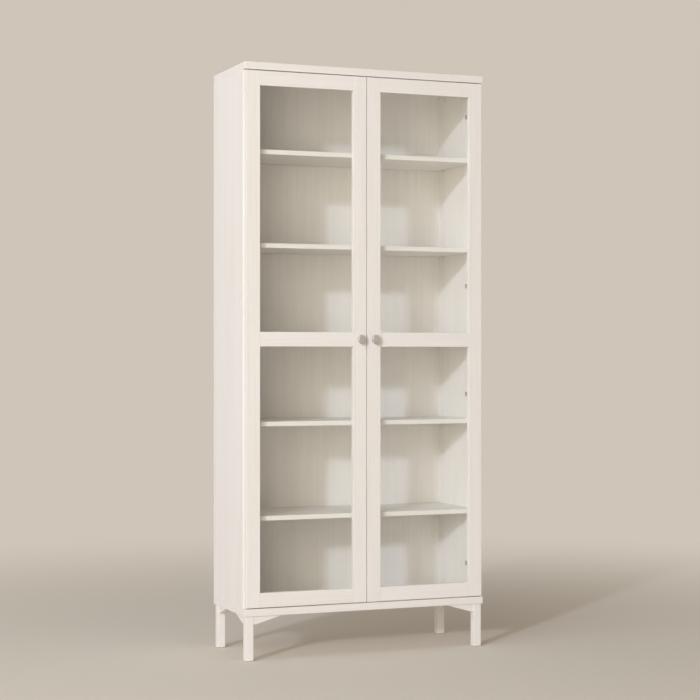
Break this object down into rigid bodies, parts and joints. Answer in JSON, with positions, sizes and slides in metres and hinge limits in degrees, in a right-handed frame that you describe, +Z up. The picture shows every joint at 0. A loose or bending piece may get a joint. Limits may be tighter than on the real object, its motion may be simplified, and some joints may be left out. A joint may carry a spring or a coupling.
{
  "type": "display cabinet",
  "caption": "Tall white display cabinet on square legs, with framed glass doors on concealed hinges that swing open onto full-width shelves.",
  "frame": {"origin": "on the floor, midway between the sides and midway between the knobs' fronts and the back edges", "axes": "+Z up, -Y toward the doors' fronts, +X to the right as one faces the doors"},
  "size_m": [0.9, 0.372, 2.047],
  "materials": {
    "carcass_board": "white wood-grain foil on board, satin",
    "back_board": "white printed hardboard, matt",
    "shelf_board": "white wood-grain foil on board, satin",
    "door_stile": "white wood-grain foil, upright grain",
    "door_rail": "white wood-grain foil, level grain",
    "door_bead": "white foil",
    "leg_wood": "white painted wood",
    "clear_glass": "clear float glass",
    "knob_metal": "brushed pewter",
    "hinge_steel": "nickel-plated pressed steel",
    "fastener_steel": "zinc-plated steel",
    "pin_steel": "nickel-plated steel",
    "cam_zinc": "die-cast zinc with a white face",
    "cap_plastic": "moulded white plastic",
    "beech_dowel": "fluted beech",
    "glide_plastic": "moulded plastic",
    "strip_plastic": "extruded white plastic"
  },
  "bodies": {
    "cabinet": {"back_brackets": "leg_wood", "back_joint_strip": "strip_plastic", "back_left_leg": "leg_wood", "back_panel_left": "back_board", "back_panel_right": "back_board", "back_right_leg": "leg_wood", "base_panel": "carcass_board", "bottom_shelf": "shelf_board", "cam_bolts": "fastener_steel", "cam_caps": "cap_plastic", "cam_locks": "cam_zinc", "carcass_dowels": "beech_dowel", "foot_glides": "glide_plastic", "front_brackets": "leg_wood", "front_left_leg": "leg_wood", "front_right_leg": "leg_wood", "hinge_arm_pins": "fastener_steel", "hinge_arms": "hinge_steel", "hinge_plate_screws": "fastener_steel", "hinge_plates": "hinge_steel", "left_side_brackets": "leg_wood", "left_side_panel": "carcass_board", "leg_bolts": "fastener_steel", "lower_shelf": "shelf_board", "middle_shelf": "shelf_board", "right_side_brackets": "leg_wood", "right_side_panel": "carcass_board", "shelf_pins": "pin_steel", "top_panel": "carcass_board", "top_shelf": "shelf_board", "upper_shelf": "shelf_board"},
    "left_links": {"left_hinge_links": "hinge_steel"},
    "left_door": {"left_door_bottom_rail": "door_rail", "left_door_glass_beads": "door_bead", "left_door_hinge_cup_pins": "fastener_steel", "left_door_hinge_cup_screws": "fastener_steel", "left_door_hinge_cups": "hinge_steel", "left_door_hinge_stile": "door_stile", "left_door_knob": "knob_metal", "left_door_knob_screw": "fastener_steel", "left_door_lower_glass": "clear_glass", "left_door_meeting_stile": "door_stile", "left_door_middle_rail": "door_rail", "left_door_top_rail": "door_rail", "left_door_upper_glass": "clear_glass"},
    "right_links": {"right_hinge_links": "hinge_steel"},
    "right_door": {"right_door_bottom_rail": "door_rail", "right_door_glass_beads": "door_bead", "right_door_hinge_cup_pins": "fastener_steel", "right_door_hinge_cup_screws": "fastener_steel", "right_door_hinge_cups": "hinge_steel", "right_door_hinge_stile": "door_stile", "right_door_knob": "knob_metal", "right_door_knob_screw": "fastener_steel", "right_door_lower_glass": "clear_glass", "right_door_meeting_stile": "door_stile", "right_door_middle_rail": "door_rail", "right_door_top_rail": "door_rail", "right_door_upper_glass": "clear_glass"}
  },
  "joints": [
    {"name": "left_link_swing", "type": "hinge", "parent": "cabinet", "child": "left_links", "pos_m": [-0.414, -0.139, 1.1005], "axis": [0, 0, 1], "range_deg": [0, 28]},
    {"name": "left_door_swing", "type": "hinge", "parent": "left_links", "child": "left_door", "pos_m": [-0.4362, -0.1495, 1.1005], "axis": [0, 0, -1], "range_deg": [0, 133]},
    {"name": "right_link_swing", "type": "hinge", "parent": "cabinet", "child": "right_links", "pos_m": [0.414, -0.139, 1.1005], "axis": [0, 0, -1], "range_deg": [0, 28]},
    {"name": "right_door_swing", "type": "hinge", "parent": "right_links", "child": "right_door", "pos_m": [0.4362, -0.1495, 1.1005], "axis": [0, 0, 1], "range_deg": [0, 133]}
  ],
  "couplings": [
    {"joint": "left_link_swing", "follows": "left_door_swing", "ratio": 0.21},
    {"joint": "right_link_swing", "follows": "right_door_swing", "ratio": 0.21}
  ]
}
